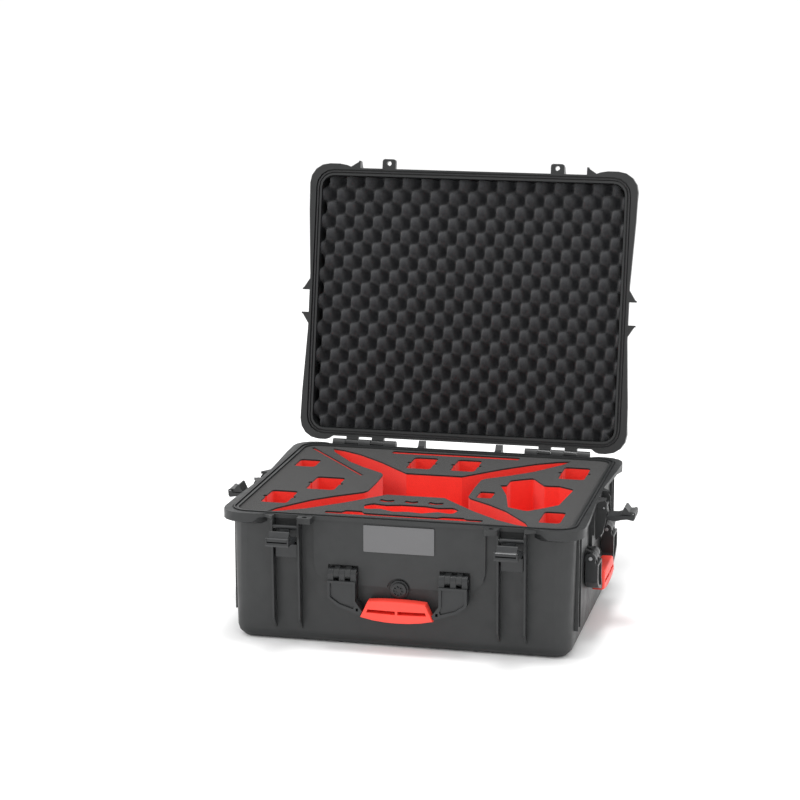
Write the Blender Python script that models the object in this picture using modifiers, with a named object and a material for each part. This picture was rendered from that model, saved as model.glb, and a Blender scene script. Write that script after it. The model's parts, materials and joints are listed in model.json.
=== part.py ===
"""A hard carrying case for a 350 mm-class quadcopter, standing open on its base.

Metres, +Z up, +X to the right, +Y to the back where the hinges are. The origin is the middle of the
base's underside. Outlines of small pieces are written in millimetres and scaled by MM. The lid is
modelled closed and hangs from an empty on the hinge axis, which turns it open.
"""

import math

import bmesh
import bpy
from mathutils import Matrix, Vector

MM = 0.001
CASE = "drone_carrying_case"

# Heights of the two halves
RIM_Z = 0.2005
CLOSED_Z = 0.2625
LID_GAP = 0.0003
FIT = 0.0003
FLOOR = 0.0055
LID_ROOF = 0.0045

# Walls: half sizes of the outside at the rim, at the bottom and at the lid's top, then of the inside
OUT_RIM = (0.2595, 0.2155)
OUT_BOTTOM = (0.2565, 0.2125)
OUT_TOP = (0.2545, 0.2100)
IN_RIM = (0.2530, 0.2097)
IN_BOTTOM = (0.2502, 0.2069)
IN_TOP = (0.2485, 0.2045)
CORNER = 0.026
INNER_CORNER = 0.020
BOTTOM_EDGE = 0.018
TOP_EDGE = 0.014

# Rim flange
EDGE_FRONT = 0.2225
EDGE_SIDE = 0.267
BASE_FLANGE = 6.0
LID_FLANGE = 8.5
BUMPER_DEEP = 14.0
BUMPER_END = 20.0
BUMPER_FRONT = 200.0
BUMPER_BACK = 217.0

# Seal: a groove round the base's rim with a tongue in it, and a channel with a gasket in the lid
GROOVE_IN = (0.2563, 0.2130)
GROOVE_OUT = (0.2628, 0.2195)
TONGUE_IN = (0.2585, 0.2152)
TONGUE_OUT = (0.2608, 0.2175)
GROOVE_DEEP = 0.0015
CHANNEL_DEEP = 0.006
GASKET_HIGH = 0.004

# Hinges and lid stops at the back
HINGE_Y = 0.2327
HINGE_Z = RIM_Z
HINGE_X = 0.1615
HINGE_SPAN = 0.107
KNUCKLES = 5
KNUCKLE_GAP = 0.001
KNUCKLE_R = 6.5
HINGE_PIN_R = 2.5
LID_OPEN = math.radians(101.2)
STOP_X = 0.0645
STOP_WIDE = 0.011

# Latches: the lever's axis is this far out from the flange edge and below the rim
LATCH_OUT = 0.008
LATCH_DOWN = 0.0175
LATCH_X = 0.1703
RIB_INNER = 0.0186
RIB_THICK = 0.003
RIB_LONG = 144
RIB_SHORT = 40
LEVER_PIN_R = 1.65
CLAW_PIN_R = 0.9
PIN_CLEAR = 0.3
CLAW_AXIS = (44.6, -7.9)

# Handles: the arms' axis
HANDLE_Z = 0.1155
SIDE_HANDLE_Z = 0.1263
HANDLE_OUT = 0.0095
HANDLE_PIN_R = 3.0
HANDLE_KNUCKLE_R = 8.5
BRACKET_IN = 0.0625
BRACKET_OUT = 0.1055

# Front panel, name plate and valve
PANEL_PROUD = 0.004
PLATE_HALF = 0.0535
PLATE_LOW = 0.150
PLATE_TALL = 0.041
PLATE_THICK = 0.0015
VALVE_Z = 0.0935
VALVE_RECESS_R = 0.0185
VENTS = 8

# Foam
FOAM_TOP = RIM_Z - 0.0025
SHEET = 0.0022
FOAM_CLEAR = 0.0005
CAVITY_CENTRE = (-8.0, -2.0)
CAVITY_DEEP = 0.125
PACK_DEEP = 0.085
THIN_DEEP = 0.030
FLOOR_RECESS = 0.001
WEDGE = 400.0
FOAM_JOINT = 0.3

ARC_STEPS = 4
FINE_R = 11.0
FINE_STEPS = 2
ROUND = 16
FLAT = math.radians(0.2)

PLASTIC = ("case_plastic", (0.050, 0.053, 0.055), 0.48, 0.0)
TRIM = ("latch_plastic", (0.060, 0.063, 0.066), 0.40, 0.0)
STEEL = ("pin_steel", (0.45, 0.46, 0.47), 0.30, 1.0)
RUBBER = ("seal_rubber", (0.012, 0.012, 0.013), 0.75, 0.0)
CORAL = ("grip_coral", (0.95, 0.10, 0.07), 0.50, 0.0)
PLATE = ("name_plate", (0.22, 0.22, 0.23), 0.45, 0.0)
CHARCOAL = ("foam_charcoal", (0.055, 0.055, 0.052), 0.95, 0.0)
RED = ("foam_red", (0.85, 0.045, 0.025), 0.95, 0.0)
EGG_CRATE = ("foam_egg_crate", (0.022, 0.023, 0.025), 0.95, 0.0)


# ---------------------------------------------------------------- scene and materials

def clear_scene():
    for obj in list(bpy.data.objects):
        bpy.data.objects.remove(obj, do_unlink=True)


def new_collection(name):
    collection = bpy.data.collections.new(name)
    bpy.context.scene.collection.children.link(collection)
    return collection


def material(look):
    name, colour, roughness, metallic = look
    if name in bpy.data.materials:
        return bpy.data.materials[name]
    made = bpy.data.materials.new(name)
    made.use_nodes = True
    shader = made.node_tree.nodes["Principled BSDF"]
    shader.inputs["Base Color"].default_value = (*colour, 1.0)
    shader.inputs["Roughness"].default_value = roughness
    shader.inputs["Metallic"].default_value = metallic
    return made


def finish(obj, name, look, parent=None):
    """Names a finished piece, merges its flat faces and gives it its material, rounds and parent."""
    bm = bmesh.new()
    bm.from_mesh(obj.data)
    bmesh.ops.remove_doubles(bm, verts=bm.verts, dist=0.000002)
    bmesh.ops.dissolve_limit(bm, angle_limit=FLAT, verts=bm.verts, edges=bm.edges)
    bm.to_mesh(obj.data)
    bm.free()
    obj.name = name
    obj.data.name = name
    obj.data.materials.clear()
    obj.data.materials.append(material(look))
    obj.data.shade_smooth()
    obj.data.set_sharp_from_angle(angle=math.radians(35))
    obj.hide_render = False
    obj.display_type = "TEXTURED"
    cutters.objects.unlink(obj)
    parts.objects.link(obj)
    obj.parent = parent
    return obj


# ---------------------------------------------------------------- shapes

def helper(name, mesh, matrix=None):
    """An unfinished solid or a cutter: it stays out of renders until it is finished."""
    obj = bpy.data.objects.new(name, mesh)
    cutters.objects.link(obj)
    obj.hide_render = True
    obj.display_type = "WIRE"
    if matrix is not None:
        mesh.transform(matrix)
        if matrix.determinant() < 0:
            mesh.flip_normals()
    return obj


def bmesh_object(name, bm, matrix=None):
    bmesh.ops.recalc_face_normals(bm, faces=bm.faces)
    mesh = bpy.data.meshes.new(name)
    bm.to_mesh(mesh)
    bm.free()
    return helper(name, mesh, matrix)


def combine(obj, tool, operation):
    """Joins a tool to a piece or cuts it out, and removes the tool."""
    boolean = obj.modifiers.new(operation.lower(), "BOOLEAN")
    boolean.operation = operation
    boolean.solver = "EXACT"
    boolean.object = tool
    graph = bpy.context.evaluated_depsgraph_get()
    mesh = bpy.data.meshes.new_from_object(obj.evaluated_get(graph))
    obj.modifiers.remove(boolean)
    obj.data = mesh
    bpy.data.objects.remove(tool)


def join(obj, *tools):
    for tool in tools:
        combine(obj, tool, "UNION")
    return obj


def cut(obj, *tools):
    for tool in tools:
        combine(obj, tool, "DIFFERENCE")
    return obj


def frame_at(origin, outward):
    """Local X points outward, Y up and Z along outward x up, all from the given origin."""
    outward = Vector(outward)
    up = Vector((0, 0, 1))
    turn = Matrix((outward, up, outward.cross(up))).transposed().to_4x4()
    return Matrix.Translation(origin) @ turn


def arc(centre, radius, start, end, steps=ARC_STEPS):
    """Points in millimetres round a centre, from one angle to another in degrees."""
    points = []
    for step in range(steps + 1):
        angle = math.radians(start + (end - start) * step / steps)
        points.append((centre[0] + radius * math.cos(angle), centre[1] + radius * math.sin(angle)))
    return points


def outline(*corners):
    """Metres from corners (x, y) or (x, y, radius) in millimetres, with an arc at each radius."""
    points = []
    for index, corner in enumerate(corners):
        here = Vector(corner[:2])
        if len(corner) == 2:
            points.append(here * MM)
            continue
        before = (Vector(corners[index - 1][:2]) - here).normalized()
        after = (Vector(corners[(index + 1) % len(corners)][:2]) - here).normalized()
        half = before.angle(after) / 2
        reach = corner[2] / math.tan(half)
        centre = here + (before + after).normalized() * (corner[2] / math.sin(half))
        first = here + before * reach - centre
        last = here + after * reach - centre
        sweep = math.atan2(first.cross(last), first.dot(last))
        steps = ARC_STEPS if corner[2] > FINE_R else FINE_STEPS
        for step in range(steps + 1):
            turn = Matrix.Rotation(sweep * step / steps, 2)
            points.append((centre + turn @ first) * MM)
    return points


def both_sides(corners):
    """A symmetric outline's corners from those of its right half, top to bottom."""
    left = [(-corner[0], *corner[1:]) for corner in reversed(corners)]
    return list(corners) + left


def four_ways(points):
    """A closed outline from the points of its first quadrant, counter-clockwise."""
    ring = list(points)
    ring += [(-x, y) for x, y in reversed(points)]
    ring += [(-x, -y) for x, y in points]
    ring += [(x, -y) for x, y in reversed(points)]
    return ring


def moved(corners, x, y):
    return [(corner[0] + x, corner[1] + y, *corner[2:]) for corner in corners]


def rectangle(x_low, x_high, y_low, y_high, radius=None):
    corners = [(x_high, y_high), (x_low, y_high), (x_low, y_low), (x_high, y_low)]
    if radius is None:
        return corners
    return [(x, y, radius) for x, y in corners]


def rounded_ring(half, radius):
    """A rounded rectangle round the origin, from half sizes in metres."""
    x, y = half[0] / MM, half[1] / MM
    return outline(*rectangle(-x, x, -y, y, radius / MM))


def plate(name, outlines, low, high, matrix=None, bevel=0.0):
    """A flat piece between two heights in local Z; further outlines inside the first are holes."""
    curve = bpy.data.curves.new(name, "CURVE")
    curve.dimensions = "2D"
    curve.fill_mode = "BOTH"
    curve.extrude = (high - low) / 2 - bevel
    curve.bevel_depth = bevel
    curve.bevel_resolution = 1
    curve.offset = -bevel
    for points in outlines:
        spline = curve.splines.new("POLY")
        spline.points.add(len(points) - 1)
        for target, (x, y) in zip(spline.points, points):
            target.co = (x, y, 0.0, 1.0)
        spline.use_cyclic_u = True
    flat = bpy.data.objects.new(name, curve)
    cutters.objects.link(flat)
    graph = bpy.context.evaluated_depsgraph_get()
    mesh = bpy.data.meshes.new_from_object(flat.evaluated_get(graph))
    bpy.data.objects.remove(flat)
    bm = bmesh.new()
    bm.from_mesh(mesh)
    bmesh.ops.remove_doubles(bm, verts=bm.verts, dist=0.00001)
    bmesh.ops.dissolve_limit(bm, angle_limit=FLAT, verts=bm.verts, edges=bm.edges)
    bmesh.ops.translate(bm, verts=bm.verts, vec=(0, 0, (low + high) / 2))
    return bmesh_object(name, bm, matrix)


def box(name, low, high, matrix=None):
    bm = bmesh.new()
    bmesh.ops.create_cube(bm, size=1.0)
    for vert in bm.verts:
        for axis in range(3):
            vert.co[axis] = high[axis] if vert.co[axis] > 0 else low[axis]
    return bmesh_object(name, bm, matrix)


def cylinder(name, radius, low, high, matrix=None, segments=ROUND, end_radius=None):
    """A cylinder or cone along local Z between two heights."""
    bm = bmesh.new()
    end_radius = radius if end_radius is None else end_radius
    middle = Matrix.Translation((0, 0, (low + high) / 2))
    bmesh.ops.create_cone(bm, cap_ends=True, segments=segments, radius1=radius,
                          radius2=end_radius, depth=high - low, matrix=middle)
    return bmesh_object(name, bm, matrix)


def loft(name, rings):
    """A closed solid through rings of equally many points, capped at both ends."""
    bm = bmesh.new()
    loops = [[bm.verts.new(point) for point in ring] for ring in rings]
    count = len(loops[0])
    for lower, upper in zip(loops, loops[1:]):
        for index in range(count):
            after = (index + 1) % count
            bm.faces.new((lower[index], lower[after], upper[after], upper[index]))
    bm.faces.new(reversed(loops[0]))
    bm.faces.new(loops[-1])
    bmesh.ops.triangulate(bm, faces=[face for face in bm.faces if len(face.verts) == 4])
    return bmesh_object(name, bm)


def drafted_box(name, half_low, half_high, z_low, z_high, corner, edge, edge_at_top=False):
    """A box with leaning walls and rounded corners, its bottom or top edge rounded too."""
    bm = bmesh.new()
    bmesh.ops.create_cube(bm, size=2.0)
    for vert in bm.verts:
        half = half_high if vert.co.z > 0 else half_low
        z = z_high if vert.co.z > 0 else z_low
        vert.co = (vert.co.x * half[0], vert.co.y * half[1], z)
    uprights = [e for e in bm.edges if abs(e.verts[0].co.z - e.verts[1].co.z) > MM]
    bmesh.ops.bevel(bm, geom=uprights, offset=corner, segments=ARC_STEPS, profile=0.5, affect="EDGES")
    level = z_high if edge_at_top else z_low
    rim = [e for e in bm.edges if all(abs(v.co.z - level) < 1e-6 for v in e.verts)]
    bmesh.ops.bevel(bm, geom=rim, offset=edge, segments=3, profile=0.5, affect="EDGES")
    return bmesh_object(name, bm)


# ---------------------------------------------------------------- shells

def leaning(half_low, half_high, z_low, z_high, z):
    """A leaning wall's half sizes at a height."""
    share = (z - z_low) / (z_high - z_low)
    return tuple(a + (b - a) * share for a, b in zip(half_low, half_high))


def flange_quadrant(start, middle, ends, corner):
    """A quarter of the flange's outline in millimetres, from the side's middle to the end's.

    The bumper swells from X = start. Each weight is 1 at the flange's edge and 0 at the wall.
    """
    pairs = [((267.0, 45.0), (259.0, 45.0), middle)]
    pairs.append(((272.5, 150.0), (259.0, 150.0), ends))
    for outer, inner in zip(arc((240.5, 196.0), 33.0, 0, 90), arc((233.5, 189.5), 25.5, 0, 90)):
        pairs.append((outer, inner, corner))
    swell = (235.0 - start) / 3
    pairs.append(((start + 2 * swell, 229.0), (start + 2 * swell, 215.0), corner))
    pairs.append(((start + swell, 227.0), (start + swell, 215.0), (corner + ends) / 2))
    pairs.append(((start, 222.5), (start, 215.0), middle))
    points = []
    for outer, inner, weight in pairs:
        x = inner[0] + (outer[0] - inner[0]) * weight
        y = inner[1] + (outer[1] - inner[1]) * weight
        points.append((x, y))
    return points


def flange_ring(height, *weights):
    """The whole outline at a height; the back's bumpers start outside the hinges."""
    back = flange_quadrant(BUMPER_BACK, *weights)
    front = flange_quadrant(BUMPER_FRONT, *weights)
    ring = back + [(-x, y) for x, y in reversed(back)]
    ring += [(-x, -y) for x, y in front] + [(x, -y) for x, y in reversed(front)]
    return [Vector((x * MM, y * MM, height)) for x, y in ring]


def flange(name, level, way, thick):
    """The flange with its corner bumpers, from the parting level downwards (-1) or upwards (+1)."""
    inside = -0.12
    steps = [
        (0.0, 1, 1, 1),
        (thick, 1, 1, 1),
        (thick + 0.4, inside, 0.9, 1),
        (BUMPER_DEEP, inside, 0.2, 1),
        (BUMPER_END, inside, inside, inside),
    ]
    return loft(name, [flange_ring(level + way * down * MM, *weights) for down, *weights in steps])


def latch_places():
    """Each latch's name, its lever's axis, the way it faces, its ribs' drop and its pad's back."""
    z = RIM_Z - LATCH_DOWN
    front = -(EDGE_FRONT + LATCH_OUT)
    side = EDGE_SIDE + LATCH_OUT
    return [
        ("latch_front_left", Vector((-LATCH_X, front, z)), (0, -1, 0), RIB_LONG, -15.4),
        ("latch_front_right", Vector((LATCH_X, front, z)), (0, -1, 0), RIB_LONG, -15.4),
        ("latch_side_left", Vector((-side, 0, z)), (-1, 0, 0), RIB_LONG, -15.9),
        ("latch_side_right", Vector((side, 0, z)), (1, 0, 0), RIB_SHORT, -11.2),
    ]


def handle_places():
    """Each handle's name, the middle of its axis and the direction it faces."""
    front, side = [
        rim - (rim - bottom) * (RIM_Z - z) / RIM_Z + HANDLE_OUT
        for rim, bottom, z in ((OUT_RIM[1], OUT_BOTTOM[1], HANDLE_Z), (OUT_RIM[0], OUT_BOTTOM[0], SIDE_HANDLE_Z))
    ]
    return [
        ("handle_front", Vector((0, -front, HANDLE_Z)), (0, -1, 0)),
        ("handle_side", Vector((side, 0, SIDE_HANDLE_Z)), (1, 0, 0)),
    ]


def latch_ribs(place, outward, drop):
    """Two tapering ribs that carry the lever's pin, with a gusset beside each at the flange."""
    profile = outline((-24, 16.8), (-1.5, 16.8), (4.5, 8), (4.5, -8), (2, -26),
                      (-1.5, -drop, 3), (-17, -drop - 17), (-24, -drop - 17))
    gusset = outline((-14, 0), (4, 0), (-8.6, 19), (-14, 19))
    matrix = frame_at(place, outward)
    made = []
    for side in (-1, 1):
        near, far = sorted((side * RIB_INNER, side * (RIB_INNER + RIB_THICK)))
        rib = plate("rib", [profile], near, far, matrix)
        cut(rib, cylinder("hole", (LEVER_PIN_R + PIN_CLEAR) * MM, near - MM, far + MM, matrix, 12))
        made.append(rib)
        across = Vector((0, 0, side))
        flat = Matrix((Vector((1, 0, 0)), across, Vector((0, 1, 0)))).transposed().to_4x4()
        lift = Matrix.Translation((0, 0, side * (RIB_INNER + MM)))
        made.append(plate("gusset", [gusset], 0.0125, 0.0166, matrix @ lift @ flat))
    return made


def lid_fins(place, outward):
    """The lid's guards on both sides of a claw, above the flange."""
    matrix = frame_at(place, outward)
    fin = outline((-20, 18.3), (4, 18.3), (4, 30, 4), (-4, 36, 10), (-14, 49), (-20, 49))
    gusset = outline((-14, 0), (3.5, 0), (-8.6, 19), (-14, 19))
    made = []
    for side in (-1, 1):
        near, far = sorted((side * RIB_INNER, side * (RIB_INNER + RIB_THICK)))
        made.append(plate("fin", [fin], near, far, matrix))
        across = Vector((0, 0, side))
        flat = Matrix((Vector((1, 0, 0)), across, Vector((0, 1, 0)))).transposed().to_4x4()
        lift = Matrix.Translation((0, 0, side * (RIB_INNER + MM)))
        made.append(plate("gusset", [gusset], 0.0185, 0.0258, matrix @ lift @ flat))
    return made


def padlock_tabs(low, high):
    """Two drilled tabs at the front, between the heights given."""
    hole = arc((0, 0), 4.0, 0, 337.5, 15)
    made = []
    for side in (-1, 1):
        tab = outline(*moved(both_sides([(11, 15), (11, -8, 3.5)]), side * 140.5, -230.5))
        bore = outline(*moved(hole, side * 140.5, -231.2))
        made.append(plate("tab", [tab, bore], low, high))
    return made


def hinge_spans():
    """The low and high X of every knuckle of both hinges, from left to right."""
    pitch = (HINGE_SPAN + KNUCKLE_GAP) / KNUCKLES
    for side in (-1, 1):
        start = side * HINGE_X - HINGE_SPAN / 2
        for index in range(KNUCKLES):
            low = start + index * pitch
            yield index, low, low + pitch - KNUCKLE_GAP


def hinge_knuckles(owner):
    """Knuckles with their arms; owner 0 gives the base's three a hinge, owner 1 the lid's two."""
    if owner == 0:
        profile = [(-14, -0.9)] + arc((0, 0), KNUCKLE_R, 185, -75, 10) + [(-6, -12), (-14, -19)]
    else:
        profile = [(-14, 0.9)] + arc((0, 0), KNUCKLE_R, 175, 435, 10) + [(-6, 8.6), (-14, 8.6)]
    bore = arc((0, 0), HINGE_PIN_R + PIN_CLEAR, 0, 330, 11)
    matrix = frame_at((0, HINGE_Y, HINGE_Z), (0, 1, 0))
    made = []
    for index, low, high in hinge_spans():
        if index % 2 == owner:
            made.append(plate("knuckle", [outline(*profile), outline(*bore)], low, high, matrix))
    return made


def lid_stops():
    """Posts under the open lid's edge."""
    profile = outline((-14, -6), (-14, -1.2), (-4, 2), (1.8, 9.2), (10, 7.6), (10, -5, 2),
                      (2, -15, 4), (-14, -26))
    matrix = frame_at((0, HINGE_Y, HINGE_Z), (0, 1, 0))
    half = STOP_WIDE / 2
    return [plate("stop", [profile], x - half, x + half, matrix) for x in (-STOP_X, STOP_X)]


def bracket_spans():
    """Distances from a handle's middle to both faces of the five knuckles of one bracket."""
    pitch = (BRACKET_OUT - BRACKET_IN + FIT) / KNUCKLES
    return [(BRACKET_IN + i * pitch, BRACKET_IN + (i + 1) * pitch - FIT) for i in range(KNUCKLES)]


def handle_matrix(place, outward):
    """Local X along the handle, Y up and Z outward, from the middle of the handle's axis."""
    outward = Vector(outward)
    up = Vector((0, 0, 1))
    turn = Matrix((up.cross(outward), up, outward)).transposed().to_4x4()
    return Matrix.Translation(place) @ turn


# A knuckle's section in a handle's frame: X becomes outward, Y stays up and Z runs along the handle
SECTION = Matrix(((0, 0, 1, 0), (0, 1, 0, 0), (1, 0, 0, 0), (0, 0, 0, 1)))


def handle_brackets(place, outward):
    """The wall's knuckles for one handle, each on a web."""
    profile = arc((0, 0), HANDLE_KNUCKLE_R, -75, 95, 8) + [(-12, 13), (-12, -8.2)]
    bore = arc((0, 0), HANDLE_PIN_R + PIN_CLEAR, 0, 330, 11)
    matrix = handle_matrix(place, outward) @ SECTION
    made = []
    for side in (-1, 1):
        for low, high in bracket_spans()[1::2]:
            near, far = sorted((side * low, side * high))
            made.append(plate("web", [outline(*profile), outline(*bore)], near, far, matrix))
    return made


def front_panel():
    """The raised panel under the flange, notched round the handle's brackets."""
    half = [(130, 197), (130, 128, 10), (126, 112, 6), (113, 101, 4), (108, 98.5), (107.5, 127),
            (61.5, 127), (61.5, 97)]
    matrix = frame_at((0, 0, 0), (0, -1, 0)) @ Matrix.Rotation(math.pi / 2, 4, "Y")
    high = OUT_RIM[1] + PANEL_PROUD
    return plate("panel", [outline(*both_sides(half))], 0.205, high, matrix)


def side_panel():
    """The raised panel on the right wall, between the side handle's brackets and the flange."""
    panel = [(60, 197), (60, 131, 6)]
    matrix = frame_at((0, 0, 0), (1, 0, 0)) @ Matrix.Rotation(math.pi / 2, 4, "Y")
    high = OUT_RIM[0] + PANEL_PROUD
    made = [plate("panel", [outline(*both_sides(panel))], 0.249, high, matrix)]
    for y in (-0.0595, 0.0565):
        made.append(box("edge", (0.250, y, 0.150), (high + 0.003, y + 0.003, 0.1965)))
    return made


def seal_ring(name, inner, outer, low, high):
    grow = CORNER - OUT_RIM[0]
    return plate(name, [rounded_ring(outer, outer[0] + grow), rounded_ring(inner, inner[0] + grow)],
                 low, high)


def back_ribs(level_low, level_high, reach):
    """Stiffening ribs on the back wall."""
    made = []
    for x in (-0.222, -0.0965, -0.032, 0.029, 0.0935, 0.219):
        made.append(box("rib", (x, 0.200, level_low), (x + 0.003, reach, level_high)))
    return made


def corner_ribs(level_low, level_high, reach):
    """A pair of upright ribs on the side walls, next to each corner."""
    made = []
    for side in (-1, 1):
        near, far = sorted((side * 0.250, side * reach))
        for y in (-0.182, -0.160, 0.157, 0.179):
            made.append(box("rib", (near, y, level_low), (far, y + 0.003, level_high)))
    return made


def base_shell():
    shell = drafted_box("base_shell", OUT_BOTTOM, OUT_RIM, 0.0, RIM_Z, CORNER, BOTTOM_EDGE)
    join(shell, flange("flange", RIM_Z, -1, BASE_FLANGE), front_panel(), *side_panel())
    for _, place, outward, drop, _ in latch_places():
        join(shell, *latch_ribs(place, outward, drop))
    join(shell, *back_ribs(0.028, RIM_Z - 0.003, 0.2195))
    join(shell, *corner_ribs(0.037, RIM_Z - 0.003, 0.2628))
    join(shell, *padlock_tabs(RIM_Z - 0.0095, RIM_Z - 0.0005))
    join(shell, *hinge_knuckles(0), *lid_stops())
    recess = cylinder("recess", VALVE_RECESS_R, 0.2140, 0.2300,
                      frame_at((0, 0, VALVE_Z), (0, -1, 0)) @ Matrix.Rotation(math.pi / 2, 4, "Y"), 32)
    cut(shell, recess)
    for _, place, outward in handle_places():
        join(shell, *handle_brackets(place, outward))
    above = RIM_Z + 0.01
    mouth = leaning(IN_BOTTOM, IN_RIM, FLOOR, RIM_Z, above)
    cut(shell, drafted_box("inside", IN_BOTTOM, mouth, FLOOR, above, INNER_CORNER, 0.012))
    cut(shell, seal_ring("groove", GROOVE_IN, GROOVE_OUT, RIM_Z - GROOVE_DEEP, RIM_Z + 0.01))
    join(shell, seal_ring("tongue", TONGUE_IN, TONGUE_OUT, RIM_Z - 0.003, RIM_Z + GROOVE_DEEP))
    for side in (-1, 1):
        pocket = outline(*moved(rectangle(-95, 95, -150, 150, 20), side * 125, 0))
        cut(shell, plate("foot_recess", [pocket], -0.01, 0.0015))
    return finish(shell, "base_shell", PLASTIC)


def lid_shell(hinge):
    """The lid, modelled closed."""
    low = RIM_Z + LID_GAP
    shell = drafted_box("lid_shell", OUT_RIM, OUT_TOP, low, CLOSED_Z, CORNER, TOP_EDGE, True)
    join(shell, flange("flange", low, 1, LID_FLANGE))
    for _, place, outward, *_ in latch_places():
        join(shell, *lid_fins(place, outward))
    join(shell, *padlock_tabs(RIM_Z + 0.0008, RIM_Z + 0.0095))
    join(shell, *hinge_knuckles(1))
    roof = CLOSED_Z - LID_ROOF
    below = low - 0.01
    mouth = leaning(IN_RIM, IN_TOP, low, roof, below)
    cut(shell, drafted_box("inside", mouth, IN_TOP, below, roof, INNER_CORNER, 0.010, True))
    cut(shell, seal_ring("channel", GROOVE_IN, GROOVE_OUT, low - 0.01, low + CHANNEL_DEEP))
    for x_low, x_high in ((-205, -75), (-65, 65), (75, 205)):
        field = outline(*rectangle(x_low, x_high, -160, 160, 12))
        cut(shell, plate("top_recess", [field], CLOSED_Z - 0.0015, CLOSED_Z + 0.01))
    return hang(finish(shell, "lid_shell", PLASTIC), hinge)


def hang(obj, joint):
    """Moves a closed-lid piece's origin to the hinge axis and parents it there."""
    obj.data.transform(Matrix.Translation(-joint.location))
    obj.parent = joint
    return obj


def lid_hinge():
    joint = bpy.data.objects.new("lid_hinge", None)
    parts.objects.link(joint)
    joint.location = (0, HINGE_Y, HINGE_Z)
    joint.rotation_euler.x = -LID_OPEN
    return joint


def lid_lining(hinge):
    """The gasket in its channel and the foam under the lid's roof."""
    high = RIM_Z + LID_GAP + CHANNEL_DEEP - FIT
    inner = (GROOVE_IN[0] + 0.0017, GROOVE_IN[1] + 0.0017)
    outer = (GROOVE_OUT[0] - 0.0017, GROOVE_OUT[1] - 0.0017)
    gasket = seal_ring("gasket", inner, outer, high - GASKET_HIGH, high)
    hang(finish(gasket, "lid_gasket", RUBBER), hinge)
    low = tuple(half - FOAM_CLEAR - 0.0005 for half in IN_RIM)
    top = tuple(half - FOAM_CLEAR for half in IN_TOP)
    foam = drafted_box("foam", low, top, RIM_Z + 0.003, CLOSED_Z - LID_ROOF - FOAM_CLEAR,
                       INNER_CORNER, 0.010, True)
    hang(finish(foam, "lid_foam", EGG_CRATE), hinge)


def hinge_pins():
    for name, side in (("hinge_pin_left", -1), ("hinge_pin_right", 1)):
        half = HINGE_SPAN / 2 - MM
        pin = cylinder(name, HINGE_PIN_R * MM, -half, half,
                       frame_at((0, 0, 0), (0, 1, 0)), 12)
        finish(pin, name, STEEL).location = (side * HINGE_X, HINGE_Y, HINGE_Z)


# ---------------------------------------------------------------- front fittings

def name_plate():
    face = OUT_RIM[1] + PANEL_PROUD + FIT
    half = PLATE_HALF / MM
    corners = rectangle(-half, half, PLATE_LOW / MM, (PLATE_LOW + PLATE_TALL) / MM, 1.5)
    matrix = frame_at((0, 0, 0), (0, -1, 0)) @ Matrix.Rotation(math.pi / 2, 4, "Y")
    made = plate("label_plate", [outline(*corners)], face, face + PLATE_THICK, matrix)
    finish(made, "label_plate", PLATE)


def turned(name, profile, matrix):
    """A turned solid from radius and height pairs, outer side running top to bottom."""
    mesh = bpy.data.meshes.new(name)
    bm = bmesh.new()
    verts = [bm.verts.new((radius * MM, 0, height * MM)) for radius, height in profile]
    for first, second in zip(verts, verts[1:]):
        bm.edges.new((first, second))
    bm.to_mesh(mesh)
    bm.free()
    obj = helper(name, mesh)
    screw = obj.modifiers.new("turn", "SCREW")
    screw.steps = 24
    screw.render_steps = 24
    screw.use_merge_vertices = True
    screw.merge_threshold = 0.00001
    graph = bpy.context.evaluated_depsgraph_get()
    bm = bmesh.new()
    bm.from_mesh(obj.evaluated_get(graph).to_mesh())
    bpy.data.objects.remove(obj)
    return bmesh_object(name, bm, matrix)


def pressure_valve():
    """A round body in its recess and a cap that stands off it."""
    matrix = frame_at((0, -0.2140 - FIT, VALVE_Z), (0, -1, 0)) @ Matrix.Rotation(math.pi / 2, 4, "Y")
    body = turned("valve_body", [(0, 5.2), (9.2, 5.2), (9.2, 3.6), (14, 3.6), (14.6, 3), (14.6, 0), (0, 0)],
                  matrix)
    finish(body, "valve_body", TRIM)
    cap = turned("valve_cap", [(0, 7.4), (3.4, 7.4), (3.4, 8.4), (9.4, 8.4), (11.6, 7.6), (11.6, 5.5), (0, 5.5)],
                 matrix)
    vents = []
    for index in range(VENTS):
        middle = 360 / VENTS * index
        vents.append(outline(*[
            (radius * math.cos(math.radians(middle + turn)), radius * math.sin(math.radians(middle + turn)))
            for radius, turn in ((4.4, -14), (8.0, -17), (8.0, 17), (4.4, 14))]))
    cut(cap, plate("vents", vents, 0.0064, 0.0100, matrix))
    finish(cap, "valve_cap", TRIM)


# ---------------------------------------------------------------- latches

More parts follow.
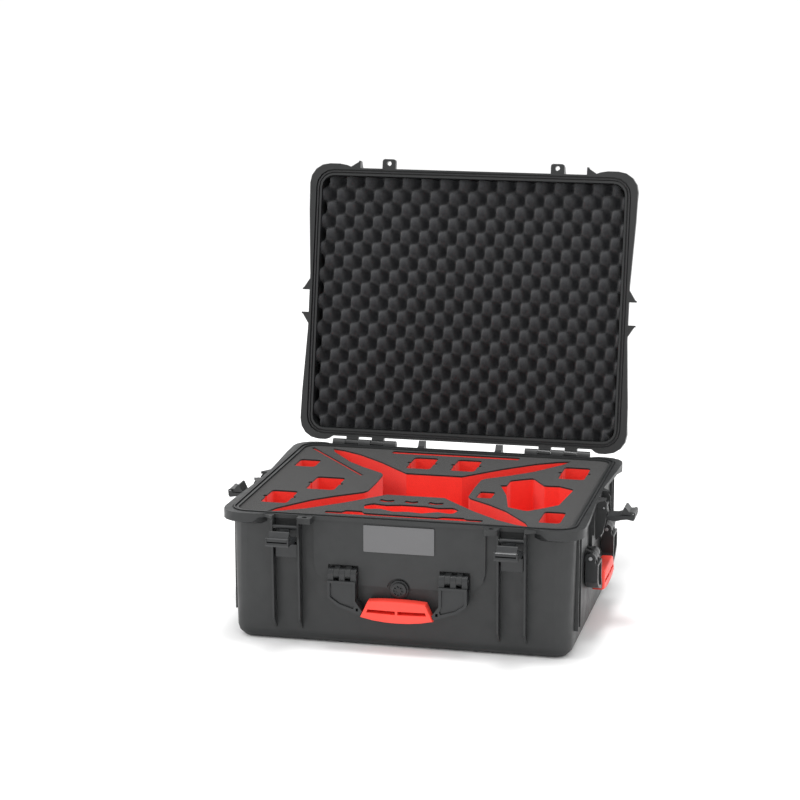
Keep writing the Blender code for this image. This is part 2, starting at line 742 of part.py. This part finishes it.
def lever_solid():
    barrel = plate("lever", [outline(*arc((0, 0), 3.2, 0, 330, 11)),
                             outline(*arc((0, 0), LEVER_PIN_R + PIN_CLEAR, 0, 330, 11))], -0.018, 0.018)
    stem = plate("stem", [outline((-2.4, -2.4), (3, -2), (4.5, -14.5), (-1.2, -14.5))], -0.00675, 0.00675)
    arm = plate("arm", [outline((-1.5, -13.5, 1), (18, -13.2), (24.8, -11.2), (41, -11.2), (47, -12.2),
                                (47.4, -15, 1), (45, -18.5), (35, -16.8), (25.7, -18.2), (18, -20.5),
                                (6, -19, 2), (2, -15))], -0.0175, 0.0175)
    join(barrel, stem, arm)
    cheek = outline((40.2, -13), (41.4, -6.6, 1), (44.2, -4.9, 1), (47, -5.6, 1), (47.7, -8, 1), (47.2, -13.5))
    for side in (-1, 1):
        near, far = sorted((side * 0.0153, side * 0.0174))
        join(barrel, plate("cheek", [cheek], near, far))
    bore = Matrix.Translation((CLAW_AXIS[0] * MM, CLAW_AXIS[1] * MM, 0))
    cut(barrel, cylinder("bore", (CLAW_PIN_R + PIN_CLEAR) * MM, -0.02, 0.02, bore, 12))
    return barrel


def claw_solid():
    x, y = CLAW_AXIS
    profile = outline(*moved([(24.8, -10.3), (30.2, 1.5, 0.8), (33, 1, 0.8), (38, -5.6), (44.9, -5.1, 1),
                              (47.2, -6.6, 1), (47.4, -10.4, 1), (42, -10.8)], -x, -y))
    claw = plate("claw", [profile], -0.015, 0.015)
    cut(claw, cylinder("bore", (CLAW_PIN_R + PIN_CLEAR) * MM, -0.02, 0.02, None, 12))
    return claw


def latches():
    """Each latch: a lever on a pin through the ribs, a hooked claw on the lever, and a strike pad."""
    claw_at = Vector((CLAW_AXIS[0] * MM, CLAW_AXIS[1] * MM, 0))
    for name, place, outward, _, back in latch_places():
        matrix = frame_at(place, outward)
        lever = finish(lever_solid(), name + "_lever", TRIM)
        lever.matrix_world = matrix
        claw = finish(claw_solid(), name + "_claw", TRIM, lever)
        claw.location = claw_at
        claw_pin = cylinder("pin", CLAW_PIN_R * MM, -0.0172, 0.0172, None, 12)
        finish(claw_pin, name + "_claw_pin", STEEL, lever).location = claw_at
        lever_pin = cylinder("pin", LEVER_PIN_R * MM, -0.0207, 0.0207, None, 12)
        finish(lever_pin, name + "_lever_pin", STEEL).matrix_world = matrix
        pad = plate("pad", [outline((back, -26.5), (-4.5, -27.5), (-4.5, -47.5), (back, -47.5))],
                    -0.0165, 0.0165)
        finish(pad, name + "_strike_pad", TRIM).matrix_world = matrix


# ---------------------------------------------------------------- handles

def handle_arm(side):
    """One arm in the handle's frame: a framed plate on three knuckles."""
    corners = [(63, -9.2), (105.5, -9.2), (105.5, -36, 6), (89.5, -48.5, 8), (55.5, -60), (52.7, -53.5),
               (63, -39, 5)]
    field = [(67, -13), (101.5, -13), (101.5, -34.5, 4), (87, -44.5, 5), (66, -51), (64, -47), (67, -40)]
    slot = rectangle(58.5, 62, -54, -49.5)

    def mirror(points):
        return outline(*[(side * point[0], *point[1:]) for point in points])

    arm = plate("arm", [mirror(corners)], -0.0072, 0.0115)
    for low, high in bracket_spans()[0::2]:
        near, far = sorted((side * low, side * high))
        knuckle = outline(*arc((0, 0), HANDLE_KNUCKLE_R, -30, 210, 10), (-7.2, -12), (8.5, -12))
        join(arm, plate("knuckle", [knuckle], near, far, SECTION))
    cut(arm, plate("field", [mirror(field)], 0.0085, 0.02))
    cut(arm, plate("slot", [mirror(slot)], -0.02, 0.02))
    bore = Matrix.Rotation(math.pi / 2, 4, "Y")
    cut(arm, cylinder("bore", (HANDLE_PIN_R + PIN_CLEAR) * MM, -0.2, 0.2, bore, 12))
    return arm


def handle_grip():
    """The coral grip in the handle's frame, bowed, with two deep slots in its face."""
    half = [(25, -34.9), (43.7, -36.4), (55.5, -62), (36, -66), (18, -67.9)]
    corners = [(0, -34.4)] + half + [(0, -68.5)] + [(-x, y) for x, y in reversed(half)]
    grip = plate("grip", [outline(*corners)], -0.0045, 0.0145, None, 0.003)
    for side in (-1, 1):
        slot = [(side * x, y) for x, y in ((1.8, -54.8), (45.5, -53.6), (43.5, -48.6), (1.8, -49.2))]
        cut(grip, plate("slot", [outline(*slot)], 0.0, 0.02))
    return grip


def handles():
    bore = Matrix.Rotation(math.pi / 2, 4, "Y")
    for name, place, outward in handle_places():
        joint = bpy.data.objects.new(name, None)
        parts.objects.link(joint)
        joint.matrix_world = handle_matrix(place, outward)
        for word, side in (("left", -1), ("right", 1)):
            finish(handle_arm(side), f"{name}_arm_{word}", TRIM, joint)
            low, high = sorted((side * (BRACKET_IN + 0.0004), side * (BRACKET_OUT - 0.0004)))
            pin = cylinder("pin", HANDLE_PIN_R * MM, low, high, bore, 12)
            finish(pin, f"{name}_pin_{word}", STEEL).matrix_world = handle_matrix(place, outward)
        finish(handle_grip(), name + "_grip", CORAL, joint)


# ---------------------------------------------------------------- foam

def drone_cavity():
    """The four-armed hollow of the drone's body, in millimetres round its own centre."""
    arm = [(78, 0), (79, 50), (84, 60), (120, 90), (150, 120), (190, 178), (198, 200), (178, 193),
           (145, 172), (100, 130), (60, 85), (45, 68)]
    return moved(four_ways(arm), *CAVITY_CENTRE)


def battery(x_low, x_high, y_low, y_high, round_corner=6):
    """A battery's pocket with a finger notch in the middle of both long sides."""
    notch = 5
    if x_high - x_low > y_high - y_low:
        raise ValueError("a battery pocket is longer front to back")
    middle = (y_low + y_high) / 2
    right = [(x_high, y_high, round_corner), (x_high, middle + notch), (x_high + notch, middle + 3, 2)]
    right += [(x_high + notch, middle - 3, 2), (x_high, middle - notch), (x_high, y_low, round_corner)]
    centre = (x_low + x_high) / 2
    left = [(2 * centre - x, y, *rest) for x, y, *rest in reversed(right)]
    return right + left


def deep_pockets():
    """Pockets for batteries, charger, controller and a folded stand."""
    return [
        battery(-232, -190, -152, -80),
        battery(-185, -139, -62, 15),
        battery(-62, -22, 97, 170),
        battery(10, 50, 97, 170),
        battery(186, 228, 84, 160),
        rectangle(-240, -205, 72, 118, 6),
        rectangle(83, 107, -57, -19, 4),
        [(106.5, 24), (116, 27, 3), (116, 57, 6), (128, 66, 6), (149, 80, 6), (173, 38, 6), (196, 40, 6),
         (222, 24, 8), (214, -72, 8), (188, -102, 6), (172, -117, 6), (141, -101, 6), (126, -32, 8)],
        rectangle(199, 232, -175, -112, 6),
    ]


def shallow_pockets():
    """Pockets for propellers, tools and small things."""
    propeller = both_sides([(0.01, -126), (18, -122, 6), (40, -128, 8), (62, -123, 6), (73, -134, 5),
                            (68, -158, 6), (44, -152, 8), (22, -164, 6), (0.01, -160)])
    pockets = [propeller[1:-1]]
    for x_low, x_high in ((-56, -34), (-17, 3), (20, 42)):
        middle = (x_low + x_high) / 2
        pockets.append([(x_high, -96, 2), (x_high + 1, -108, 3), (middle, -113, 8), (x_low - 1, -108, 3),
                        (x_low, -96, 2), (middle, -103, 8)])
    front = [(120, -181, 3), (118, -192, 4), (-120, -192, 4), (-122, -181, 3), (-97, -180, 4),
             (-92, -170, 4), (-68, -170, 4), (-62, -180, 4), (50, -181, 4), (56, -175, 4), (88, -175, 4),
             (94, -181, 4)]
    pockets.append(front)
    pockets.append(rectangle(-106, 106, 187, 203, 4))
    slim = Vector((-104 + 240, 22 - 199)).normalized()
    across = Vector((-slim.y, slim.x)) * 3
    ends = [Vector((-240, 196)) - across, Vector((-240, 196)) + across,
            Vector((-118, 37)) + across, Vector((-118, 37)) - across]
    pockets.append([tuple(end) for end in ends])
    return pockets


def foam_quarter(block, turn):
    """The part of a block above the cavity's floor that lies between two of the drone's arms."""
    across = Matrix.Rotation(math.radians(turn), 2)
    side = WEDGE - FOAM_JOINT
    wedge = [tuple(across @ Vector(corner)) for corner in ((FOAM_JOINT, 0), (WEDGE, -side), (WEDGE, side))]
    quarter = helper("quarter", block.data.copy())
    level = FOAM_TOP - CAVITY_DEEP + FLOOR_RECESS + FIT
    tool = plate("wedge", [outline(*moved(wedge, *CAVITY_CENTRE))], level, RIM_Z)
    combine(quarter, tool, "INTERSECT")
    return quarter


def foam_insert():
    """A charcoal top sheet over a red block in five glued pieces, all with the same cut-outs."""
    every = [drone_cavity(), *deep_pockets(), *shallow_pockets()]
    sheet_half = tuple(half - FOAM_CLEAR for half in IN_RIM)
    holes = [outline(*pocket) for pocket in every]
    sheet = plate("foam_top_sheet", [rounded_ring(sheet_half, INNER_CORNER - FOAM_CLEAR), *holes],
                  FOAM_TOP - SHEET, FOAM_TOP)
    finish(sheet, "foam_top_sheet", CHARCOAL)
    top = FOAM_TOP - SHEET - FIT
    low = tuple(half - FOAM_CLEAR for half in IN_BOTTOM)
    high = tuple(half - FOAM_CLEAR - 0.0001 for half in IN_RIM)
    block = drafted_box("foam_block", low, high, FLOOR + FIT, top, INNER_CORNER, 0.012)
    depths = [([drone_cavity()], CAVITY_DEEP), (deep_pockets(), PACK_DEEP), (shallow_pockets(), THIN_DEEP)]
    for pockets, deep in depths:
        tool = plate("pockets", [outline(*pocket) for pocket in pockets], FOAM_TOP - deep, RIM_Z)
        cut(block, tool)
    for place, turn in (("right", 0), ("back", 90), ("left", 180), ("front", 270)):
        quarter = foam_quarter(block, turn)
        finish(quarter, f"foam_red_{place}", RED)
    level = FOAM_TOP - CAVITY_DEEP + FLOOR_RECESS
    above = box("above", (-OUT_RIM[0], -OUT_RIM[1], level), (*OUT_RIM, RIM_Z))
    cut(block, above)
    finish(block, "foam_red_floor", RED)


clear_scene()
parts = new_collection(CASE)
cutters = new_collection("cutters")
cutters.hide_render = True

base_shell()
lid_joint = lid_hinge()
lid_shell(lid_joint)
lid_lining(lid_joint)
hinge_pins()
name_plate()
pressure_valve()
latches()
handles()
foam_insert()
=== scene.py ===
"""The looks of the drone carrying case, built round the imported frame. Metres, +Z up."""

import json
import math

import bmesh
import bpy
from mathutils import Matrix, Vector


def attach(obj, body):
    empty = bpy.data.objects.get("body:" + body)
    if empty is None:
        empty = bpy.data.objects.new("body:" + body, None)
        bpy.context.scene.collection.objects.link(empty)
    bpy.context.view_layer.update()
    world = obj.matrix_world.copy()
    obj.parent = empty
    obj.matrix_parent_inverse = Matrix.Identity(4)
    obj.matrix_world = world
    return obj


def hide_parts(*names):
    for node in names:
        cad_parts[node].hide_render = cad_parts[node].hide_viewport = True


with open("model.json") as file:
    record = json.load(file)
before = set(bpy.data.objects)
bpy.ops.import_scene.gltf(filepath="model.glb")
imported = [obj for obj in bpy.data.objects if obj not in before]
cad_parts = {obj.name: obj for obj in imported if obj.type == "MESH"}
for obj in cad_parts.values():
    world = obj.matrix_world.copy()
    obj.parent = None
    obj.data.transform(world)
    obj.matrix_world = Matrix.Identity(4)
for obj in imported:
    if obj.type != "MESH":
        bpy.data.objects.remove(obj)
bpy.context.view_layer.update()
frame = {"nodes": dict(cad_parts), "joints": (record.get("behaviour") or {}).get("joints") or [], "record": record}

# The hinge of the lid, from the frame: pieces of the lid are made closed and turned open with it
LID = next(joint for joint in frame["joints"] if joint["name"] == "lid_hinge")
HINGE = Vector(LID["pos_m"])
LID_ANGLE = math.radians(LID["range_deg"][1])
OPEN_LID = (Matrix.Translation(HINGE) @ Matrix.Rotation(-LID_ANGLE, 4, "X")
            @ Matrix.Translation(-HINGE))


# ---------------------------------------------------------------- materials

def new_material(name):
    made = bpy.data.materials.new(name)
    made.use_nodes = True
    nodes = made.node_tree.nodes
    return made, nodes, made.node_tree.links, nodes["Principled BSDF"]


def noise(nodes, links, vector, scale, detail=3.0, roughness=0.5):
    made = nodes.new("ShaderNodeTexNoise")
    made.inputs["Scale"].default_value = scale
    made.inputs["Detail"].default_value = detail
    made.inputs["Roughness"].default_value = roughness
    links.new(vector, made.inputs["Vector"])
    return made.outputs["Fac"]


def cells(nodes, links, vector, scale, feature="F1"):
    made = nodes.new("ShaderNodeTexVoronoi")
    made.feature = feature
    made.inputs["Scale"].default_value = scale
    links.new(vector, made.inputs["Vector"])
    return made.outputs["Distance"]


def remap(nodes, links, value, low, high, to_low, to_high):
    made = nodes.new("ShaderNodeMapRange")
    made.inputs["From Min"].default_value = low
    made.inputs["From Max"].default_value = high
    made.inputs["To Min"].default_value = to_low
    made.inputs["To Max"].default_value = to_high
    links.new(value, made.inputs["Value"])
    return made.outputs["Result"]


def blend_colours(nodes, links, share, first, second):
    made = nodes.new("ShaderNodeMix")
    made.data_type = "RGBA"
    made.inputs["A"].default_value = (*first, 1.0)
    made.inputs["B"].default_value = (*second, 1.0)
    links.new(share, made.inputs["Factor"])
    return made.outputs["Result"]


def bump(nodes, links, height, strength, distance, before=None):
    made = nodes.new("ShaderNodeBump")
    made.inputs["Strength"].default_value = strength
    made.inputs["Distance"].default_value = distance
    links.new(height, made.inputs["Height"])
    if before is not None:
        links.new(before, made.inputs["Normal"])
    return made.outputs["Normal"]


def moulded_plastic(name, dark, light, rough_low, rough_high, grain=900.0, grain_strength=0.25):
    """Satin resin: a fine moulded grain, faintly cloudy colour and an uneven sheen."""
    made, nodes, links, shader = new_material(name)
    place = nodes.new("ShaderNodeTexCoord").outputs["Object"]
    cloud = noise(nodes, links, place, 14.0, 4.0, 0.6)
    links.new(blend_colours(nodes, links, cloud, dark, light), shader.inputs["Base Color"])
    smear = noise(nodes, links, place, 45.0, 5.0, 0.65)
    links.new(remap(nodes, links, smear, 0.3, 0.7, rough_low, rough_high), shader.inputs["Roughness"])
    fine = bump(nodes, links, cells(nodes, links, place, grain), grain_strength, 0.0002)
    links.new(bump(nodes, links, noise(nodes, links, place, 60.0), 0.08, 0.001, fine),
              shader.inputs["Normal"])
    shader.inputs["Specular IOR Level"].default_value = 0.45
    return made


def brushed_steel(name):
    made, nodes, links, shader = new_material(name)
    place = nodes.new("ShaderNodeTexCoord").outputs["Object"]
    stretch = nodes.new("ShaderNodeMapping")
    stretch.inputs["Scale"].default_value = (40.0, 900.0, 900.0)
    links.new(place, stretch.inputs["Vector"])
    streak = noise(nodes, links, stretch.outputs["Vector"], 1.0, 4.0, 0.7)
    links.new(blend_colours(nodes, links, streak, (0.34, 0.345, 0.35), (0.56, 0.565, 0.57)),
              shader.inputs["Base Color"])
    links.new(remap(nodes, links, streak, 0.3, 0.7, 0.24, 0.42), shader.inputs["Roughness"])
    shader.inputs["Metallic"].default_value = 1.0
    return made


def foam(name, dark, light, pore=1600.0, pore_depth=0.0004, sheen=0.12):
    """Cellular foam: fine pores, soft colour variation and a matt, slightly fuzzy surface."""
    made, nodes, links, shader = new_material(name)
    place = nodes.new("ShaderNodeTexCoord").outputs["Object"]
    patch = noise(nodes, links, place, 22.0, 5.0, 0.6)
    colour = blend_colours(nodes, links, patch, dark, light)
    pores = cells(nodes, links, place, pore)
    shade = nodes.new("ShaderNodeMix")
    shade.data_type = "RGBA"
    links.new(remap(nodes, links, pores, 0.15, 0.6, 0.0, 0.35), shade.inputs["Factor"])
    links.new(colour, shade.inputs["A"])
    shade.inputs["B"].default_value = (*[c * 0.45 for c in dark], 1.0)
    links.new(shade.outputs["Result"], shader.inputs["Base Color"])
    shader.inputs["Roughness"].default_value = 0.95
    shader.inputs["Specular IOR Level"].default_value = 0.25
    shader.inputs["Sheen Weight"].default_value = sheen
    shader.inputs["Sheen Roughness"].default_value = 0.6
    small = bump(nodes, links, pores, 0.55, pore_depth)
    links.new(bump(nodes, links, noise(nodes, links, place, 260.0, 4.0, 0.7), 0.35, 0.0006, small),
              shader.inputs["Normal"])
    return made


def soft_rubber(name):
    made, nodes, links, shader = new_material(name)
    place = nodes.new("ShaderNodeTexCoord").outputs["Object"]
    dust = noise(nodes, links, place, 80.0, 5.0, 0.7)
    links.new(blend_colours(nodes, links, dust, (0.008, 0.008, 0.009), (0.022, 0.022, 0.023)),
              shader.inputs["Base Color"])
    links.new(remap(nodes, links, dust, 0.3, 0.7, 0.6, 0.85), shader.inputs["Roughness"])
    links.new(bump(nodes, links, dust, 0.2, 0.0004), shader.inputs["Normal"])
    return made


MATERIALS = {
    "case_plastic": moulded_plastic(
        "case_plastic_look", (0.0125, 0.0135, 0.0138), (0.0185, 0.0195, 0.0200), 0.40, 0.56),
    "latch_plastic": moulded_plastic(
        "latch_plastic_look", (0.0100, 0.0110, 0.0118), (0.0160, 0.0170, 0.0180), 0.30, 0.45),
    "pin_steel": brushed_steel("pin_steel_look"),
    "seal_rubber": soft_rubber("seal_rubber_look"),
    "grip_coral": moulded_plastic(
        "grip_coral_look", (0.76, 0.042, 0.026), (0.92, 0.062, 0.042), 0.42, 0.55,
        grain=700.0, grain_strength=0.3),
    "name_plate": moulded_plastic(
        "name_plate_look", (0.105, 0.105, 0.108), (0.120, 0.120, 0.123), 0.35, 0.5,
        grain=500.0, grain_strength=0.1),
    "foam_charcoal": foam(
        "foam_charcoal_look", (0.0100, 0.0096, 0.0092), (0.0170, 0.0162, 0.0158)),
    "foam_red": foam(
        "foam_red_look", (0.92, 0.034, 0.022), (1.0, 0.052, 0.034), pore=1400.0, sheen=0.10),
    "foam_egg_crate": foam(
        "foam_egg_crate_look", (0.0165, 0.0170, 0.0190), (0.0260, 0.0270, 0.0300),
        pore=1100.0, pore_depth=0.0006, sheen=0.10),
}

# The lid's moulding is the base's plastic made glossier, with its colour darkened to paint in the shade on the lid
SHADED_LID_PLASTIC = moulded_plastic(
    "lid_plastic_shaded_look", (0.0060, 0.0066, 0.0069), (0.0098, 0.0105, 0.0109), 0.26, 0.40)


# ---------------------------------------------------------------- carried-over solids

MERGE = 0.00001
ROUNDED_ANGLE = math.radians(30.0)
ROUND_SEGMENTS = 3
SHARP_ANGLE = math.radians(35.0)


def soften(obj, width):
    """Welds a solid's mesh, rounds its edges and keeps its flat faces flat."""
    weld = obj.modifiers.new("weld", "WELD")
    weld.merge_threshold = MERGE
    bevel = obj.modifiers.new("round", "BEVEL")
    bevel.width = width
    bevel.segments = ROUND_SEGMENTS
    bevel.limit_method = "ANGLE"
    bevel.angle_limit = ROUNDED_ANGLE
    obj.data.shade_smooth()
    split = obj.modifiers.new("sharp", "EDGE_SPLIT")
    split.split_angle = SHARP_ANGLE
    flat = obj.modifiers.new("flat", "WEIGHTED_NORMAL")
    flat.mode = "FACE_AREA"
    flat.weight = 100
    flat.keep_sharp = True


def dress(name, slot, width):
    obj = frame["nodes"][name]
    obj.data.materials.clear()
    obj.data.materials.append(MATERIALS[slot])
    soften(obj, width)


SLOTS = {entry["node"]: entry["material_slot"] for entry in frame["record"]["subparts"]}
# How far each hard material's edges are rounded; the foam pieces are made further down
EDGE_WIDTHS = {
    "case_plastic": 0.0012,
    "latch_plastic": 0.0004,
    "pin_steel": 0.0003,
    "seal_rubber": 0.0008,
    "grip_coral": 0.0006,
    "name_plate": 0.0004,
}
for node, slot in SLOTS.items():
    if slot in EDGE_WIDTHS:
        dress(node, slot, EDGE_WIDTHS[slot])
# The lid's shell takes the darkened copy of the plastic: its colour holds painted shade
frame["nodes"]["lid_shell"].data.materials[0] = SHADED_LID_PLASTIC


# ---------------------------------------------------------------- foam

def foam_copy(nodes, name, slot, width):
    """One foam piece in the shape of its CAD solids, with its edges eased."""
    bm = bmesh.new()
    for node in nodes:
        bm.from_mesh(frame["nodes"][node].data)
    bmesh.ops.remove_doubles(bm, verts=bm.verts, dist=MERGE)
    mesh = bpy.data.meshes.new(name)
    bm.to_mesh(mesh)
    bm.free()
    mesh.materials.append(MATERIALS[slot])
    obj = bpy.data.objects.new(name, mesh)
    bpy.context.scene.collection.objects.link(obj)
    soften(obj, width)
    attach(obj, "base")
    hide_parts(*nodes)
    return obj


RED_NODES = [node for node, slot in SLOTS.items() if slot == "foam_red"]
foam_copy(["foam_top_sheet"], "foam_top_cover", "foam_charcoal", 0.0006)
foam_copy(RED_NODES, "foam_red_insert", "foam_red", 0.0008)


# The lid's convoluted foam, with the lid closed; heights are above the hinge's axis
LID_FOAM_HALF = Vector((0.2520, 0.2087))
LID_FOAM_CORNER = 0.020
PEAK_ABOVE = 0.0032
ROOF_ABOVE = 0.0560
ROOF_TAPER = Vector((0.984, 0.980))
PEAK_HIGH = 0.028
PITCH_X, PITCH_Y = 0.0318, 0.0446
COLUMNS, ROWS = 340, 288
FLAT_TOPPED = 1.7
CREASE = math.radians(60.0)


def peak_height(x, y):
    """From 0 in a pit to 1 on a peak; alternate rows of peaks are half a pitch on."""
    wave = math.cos(2 * math.pi * x / PITCH_X) * math.cos(2 * math.pi * y / PITCH_Y)
    return (1 + math.tanh(FLAT_TOPPED * wave) / math.tanh(FLAT_TOPPED)) / 2


def egg_crate():
    """The lower face of the lid's foam, as an open grid."""
    low_x, low_y = -LID_FOAM_HALF
    bm = bmesh.new()
    grid = []
    for j in range(ROWS + 1):
        line = []
        for i in range(COLUMNS + 1):
            x = low_x + 2 * LID_FOAM_HALF.x * i / COLUMNS
            y = low_y + 2 * LID_FOAM_HALF.y * j / ROWS
            z = HINGE.z + PEAK_ABOVE + PEAK_HIGH * (1 - peak_height(x, y))
            line.append(bm.verts.new((x, y, z)))
        grid.append(line)
    for low, high in zip(grid, grid[1:]):
        for a, b, c, d in zip(low, low[1:], high[1:], high):
            bm.faces.new((a, d, c, b))
    return bm


def close_to_roof(bm):
    """Side walls up from the grid's rim to the lid's roof, and the face that lies on it."""
    rim = [edge for edge in bm.edges if edge.is_boundary]
    made = bmesh.ops.extrude_edge_only(bm, edges=rim)["geom"]
    for vert in (item for item in made if isinstance(item, bmesh.types.BMVert)):
        vert.co.z = HINGE.z + ROOF_ABOVE
        vert.co.x *= ROOF_TAPER.x
        vert.co.y *= ROOF_TAPER.y
    bmesh.ops.contextual_create(bm, geom=[edge for edge in bm.edges if edge.is_boundary])
    bmesh.ops.recalc_face_normals(bm, faces=bm.faces)


def round_corners(bm):
    """Pulls the square corners in to the lid's corner radius."""
    straight = Vector((LID_FOAM_HALF.x - LID_FOAM_CORNER, LID_FOAM_HALF.y - LID_FOAM_CORNER))
    for vert in bm.verts:
        over = Vector((abs(vert.co.x) - straight.x, abs(vert.co.y) - straight.y))
        if over.x > 0 and over.y > 0:
            pulled = over.normalized() * max(over.x, over.y)
            vert.co.x = math.copysign(straight.x + pulled.x, vert.co.x)
            vert.co.y = math.copysign(straight.y + pulled.y, vert.co.y)


def lid_foam():
    bm = egg_crate()
    close_to_roof(bm)
    round_corners(bm)
    mesh = bpy.data.meshes.new("lid_egg_crate_foam")
    bm.to_mesh(mesh)
    bm.free()
    mesh.transform(OPEN_LID)
    mesh.materials.append(MATERIALS["foam_egg_crate"])
    mesh.shade_smooth()
    obj = bpy.data.objects.new("lid_egg_crate_foam", mesh)
    bpy.context.scene.collection.objects.link(obj)
    split = obj.modifiers.new("sharp", "EDGE_SPLIT")
    split.split_angle = CREASE
    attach(obj, "lid")
    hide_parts("lid_foam")


lid_foam()


# ---------------------------------------------------------------- floor, lights and camera

FLOOR_SIZE = 90.0
FLOOR_MIDDLE = (0, 20.0, 0)
FLOOR_GREY = (0.9, 0.9, 0.9, 1.0)
SKY_STRENGTH = 1.12

# Each lamp's name, place, size and power; all are turned to AIM
AIM = (0.0, 0.0, 0.25)
LAMPS = (
    ("key", (-2.4, -1.6, 2.2), 0.9, 26.0),
    ("top", (0.1, 0.1, 3.0), 1.0, 60.0),
    ("front", (1.2, -3.2, 1.6), 1.6, 12.0),
)

LENS = 111.2
SENSOR = 36.0
CAMERA_AT = (0.7813, -3.6343, 1.1749)
CAMERA_PITCH = math.radians(90 - 12.75)
CAMERA_YAW = math.radians(12.859)


def studio():
    """A pale floor under a white sky, with three soft lamps."""
    bpy.ops.mesh.primitive_plane_add(size=FLOOR_SIZE, location=FLOOR_MIDDLE)
    floor = bpy.context.object
    floor.name = "studio_floor"
    made, _, _, shader = new_material("studio_floor_look")
    shader.inputs["Base Color"].default_value = FLOOR_GREY
    shader.inputs["Roughness"].default_value = 0.9
    floor.data.materials.append(made)
    bpy.context.scene.view_settings.view_transform = "Standard"
    world = bpy.data.worlds.new("studio_world")
    world.use_nodes = True
    background = world.node_tree.nodes["Background"]
    background.inputs["Color"].default_value = (1.0, 1.0, 1.0, 1.0)
    background.inputs["Strength"].default_value = SKY_STRENGTH
    bpy.context.scene.world = world
    for name, place, size, power in LAMPS:
        light = bpy.data.lights.new(name, "AREA")
        light.energy = power
        light.size = size
        lamp = bpy.data.objects.new(name, light)
        bpy.context.scene.collection.objects.link(lamp)
        lamp.location = place
        lamp.rotation_euler = (Vector(AIM) - Vector(place)).to_track_quat("-Z", "Y").to_euler()


def camera():
    lens = bpy.data.cameras.new("camera")
    lens.lens = LENS
    lens.sensor_width = SENSOR
    obj = bpy.data.objects.new("camera", lens)
    bpy.context.scene.collection.objects.link(obj)
    obj.location = CAMERA_AT
    obj.rotation_euler = (CAMERA_PITCH, 0.0, CAMERA_YAW)
    bpy.context.scene.camera = obj


studio()
camera()
